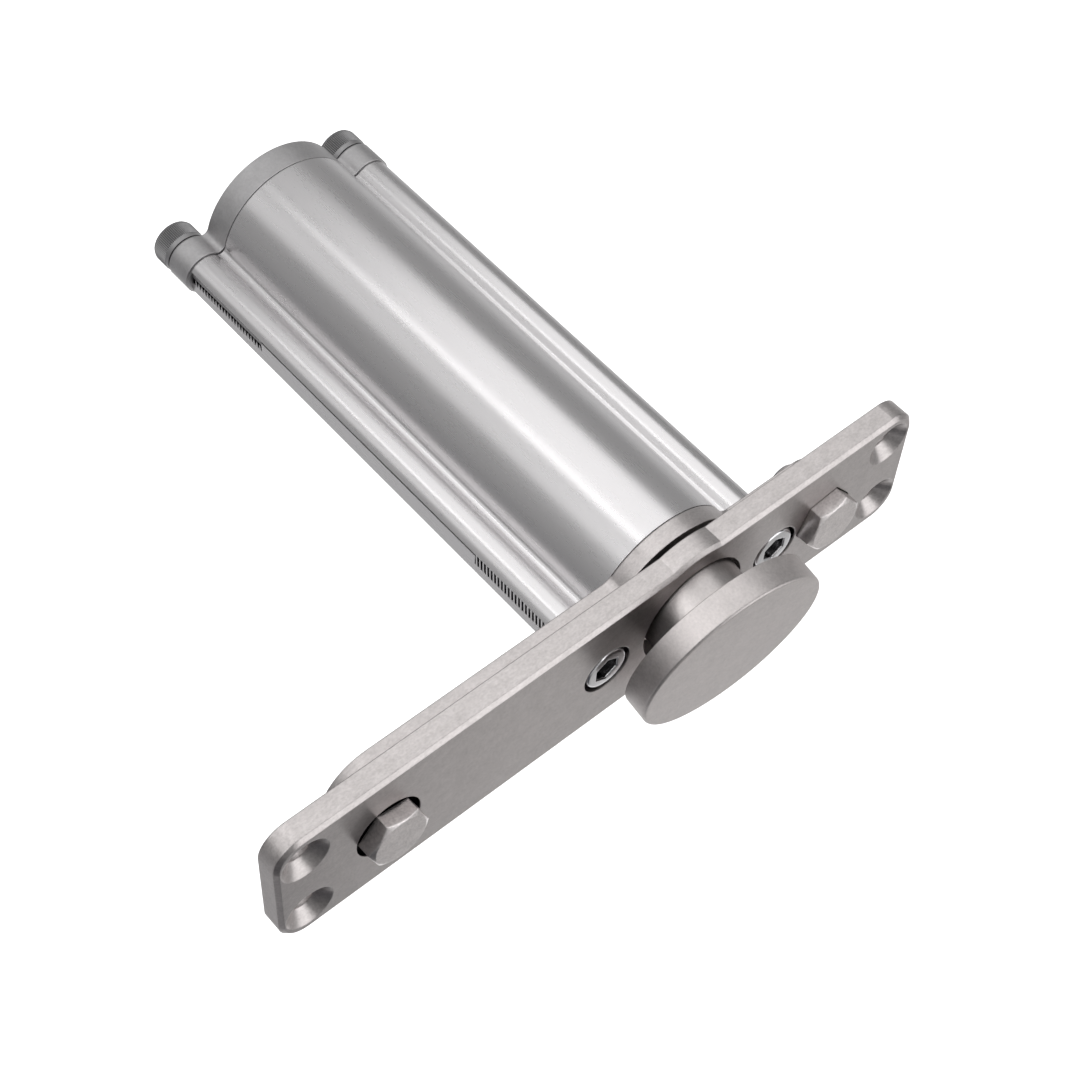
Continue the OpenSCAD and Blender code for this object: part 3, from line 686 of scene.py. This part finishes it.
def floor():
    """A wide floor that is plain and pale to the camera. What the metal mirrors of it has darker
    zones: in front of the object, most of all to the left, and to its two sides."""
    half_width = 12.0
    floor_z = -0.30
    mesh = bpy.data.meshes.new("floor")
    corners = [(half_width * x, half_width * y, floor_z) for x, y in ((-1, -1), (1, -1), (1, 1), (-1, 1))]
    mesh.from_pydata(corners, [], [(0, 1, 2, 3)])
    piece = bpy.data.objects.new("floor", mesh)
    bpy.context.scene.collection.objects.link(piece)
    finish, tree, bsdf = new_material("pale floor")
    place = separated(tree, add(tree, "ShaderNodeTexCoord").outputs["Object"])
    # In front, and pale again further out
    dark_left, dim_right = (0.06, 0.06, 0.066, 1), (0.38, 0.375, 0.37, 1)
    front = mix_colour(tree, ramp(tree, place["X"], -0.07, 0.065), dark_left, dim_right)
    far_out = math_node(tree, "MULTIPLY", ramp(tree, place["Y"], -0.42, -0.60),
                        ramp(tree, place["X"], -0.70, -0.45))
    front = mix_colour(tree, far_out, front, grey(0.50))
    # Below and behind, from left to right
    behind = mix_colour(tree, ramp(tree, place["X"], -0.22, 0.02), (0.36, 0.36, 0.365, 1), grey(0.93))
    behind = mix_colour(tree, ramp(tree, place["X"], 0.16, 0.40), behind, grey(0.66))
    mirrored = mix_colour(tree, ramp(tree, place["Y"], -0.14, -0.045), front, behind)
    seen = add(tree, "ShaderNodeLightPath").outputs["Is Camera Ray"]
    tree.links.new(mix_colour(tree, seen, mirrored, grey(0.93)), bsdf.inputs["Base Color"])
    tree.links.new(mix_colour(tree, seen, mirrored, grey(1.7)), bsdf.inputs["Emission Color"])
    bsdf.inputs["Emission Strength"].default_value = 0.5
    bsdf.inputs["Roughness"].default_value = 0.9
    bsdf.inputs["Specular IOR Level"].default_value = 0.1
    # The floor is clear from below, so that the object's underside can be looked at
    below = add(tree, "ShaderNodeNewGeometry").outputs["Backfacing"]
    clear = add(tree, "ShaderNodeBsdfTransparent")
    one_sided = add(tree, "ShaderNodeMixShader")
    for socket, source in zip(one_sided.inputs, (below, bsdf.outputs[0], clear.outputs[0])):
        tree.links.new(source, socket)
    tree.links.new(one_sided.outputs[0], tree.nodes["Material Output"].inputs["Surface"])
    mesh.materials.append(finish)


def softbox(name, towards, distance, width, length, radiance, slide, along=(0, 1, 0)):
    """A rectangular light in the direction towards, facing the origin, its length along one axis,
    and then slid along Y."""
    light = bpy.data.lights.new(name, "AREA")
    light.shape = "RECTANGLE"
    light.size = width
    light.size_y = length
    light.energy = radiance * math.pi * width * length
    out = Vector(towards).normalized()
    up = Vector(along)
    up = (up - up.dot(out) * out).normalized()
    turn = Matrix((up.cross(out).normalized(), up, out)).transposed().to_4x4()
    lamp = bpy.data.objects.new(name, light)
    lamp.matrix_world = Matrix.Translation(out * distance + Vector((0, slide, 0))) @ turn
    bpy.context.scene.collection.objects.link(lamp)


def across(beta, y=0.42):
    """Direction at angle beta round the Y axis from +X towards +Z, with its Y part given."""
    b = math.radians(beta)
    k = math.sqrt(1 - y * y)
    return (k * math.cos(b), y, k * math.sin(b))


def lights():
    """Soft lights in rows along the tube. The long ones end a little behind the object, so that it
    darkens towards the rear."""
    softbox("strip light", across(102), 1.2, 0.13, 1.2, 2.1, slide=-0.40)
    softbox("top softbox", across(72), 1.1, 0.8, 1.2, 1.0, slide=-0.43)
    softbox("left softbox", across(126), 1.5, 0.6, 1.6, 0.50, slide=-0.2)
    softbox("disc softbox", across(132, 0.0), 1.0, 0.80, 0.50, 1.90, slide=0.0)
    softbox("front softbox", (0.40, -0.86, 0.32), 2.0, 1.8, 1.8, 1.5, slide=0.06, along=(0, 0, 1))


def room():
    """A plain room, pale to the camera. What the metal mirrors of it is dark towards the front,
    a little lighter straight ahead, and softly lit behind."""
    world = bpy.data.worlds.new("studio")
    world.use_nodes = True
    tree = world.node_tree
    direction = separated(tree, add(tree, "ShaderNodeTexCoord").outputs["Generated"])
    mirrored = mix_colour(tree, ramp(tree, direction["Y"], -0.40, 0.20), (0.05, 0.05, 0.053, 1), grey(0.36))
    mirrored = mix_colour(tree, ramp(tree, direction["Y"], -0.60, -0.80), mirrored, grey(0.24))
    background = tree.nodes["Background"]
    background.inputs["Strength"].default_value = 1.0
    tree.links.new(mirrored, background.inputs["Color"])
    pale = add(tree, "ShaderNodeBackground")
    pale.inputs["Color"].default_value = grey(1.6)
    seen = add(tree, "ShaderNodeLightPath").outputs["Is Camera Ray"]
    mix = add(tree, "ShaderNodeMixShader")
    for socket, source in zip(mix.inputs, (seen, background.outputs[0], pale.outputs[0])):
        tree.links.new(source, socket)
    tree.links.new(mix.outputs[0], tree.nodes["World Output"].inputs["Surface"])
    bpy.context.scene.world = world


def camera():
    """A long lens in front of the face plate, above and to its left, that looks down at it."""
    data = bpy.data.cameras.new("camera")
    data.sensor_width = 36.0
    data.lens = 77.94034
    data.clip_start = 0.01
    data.clip_end = 20
    place = Vector((-191.116, -154.762, 362.190)) * MM
    right = Vector((0.75827042, -0.65077966, 0.03888203))
    ahead = Vector((0.40218837, 0.42001279, -0.81353167))
    turn = Matrix((right, right.cross(ahead), -ahead)).transposed().to_4x4()
    piece = bpy.data.objects.new("camera", data)
    piece.matrix_world = Matrix.Translation(place) @ turn
    bpy.context.scene.collection.objects.link(piece)
    bpy.context.scene.camera = piece


finish_nodes()
cap_screws()
lobe_threads()
window_walls()
hex_bolts()
coil_spring("front_coil_spring", FRONT_SPRING_Y, "front_spring")
coil_spring("rear_coil_spring", REAR_SPRING_Y, "rear_spring")
floor()
lights()
room()
camera()
bpy.context.scene.view_settings.view_transform = "Standard"
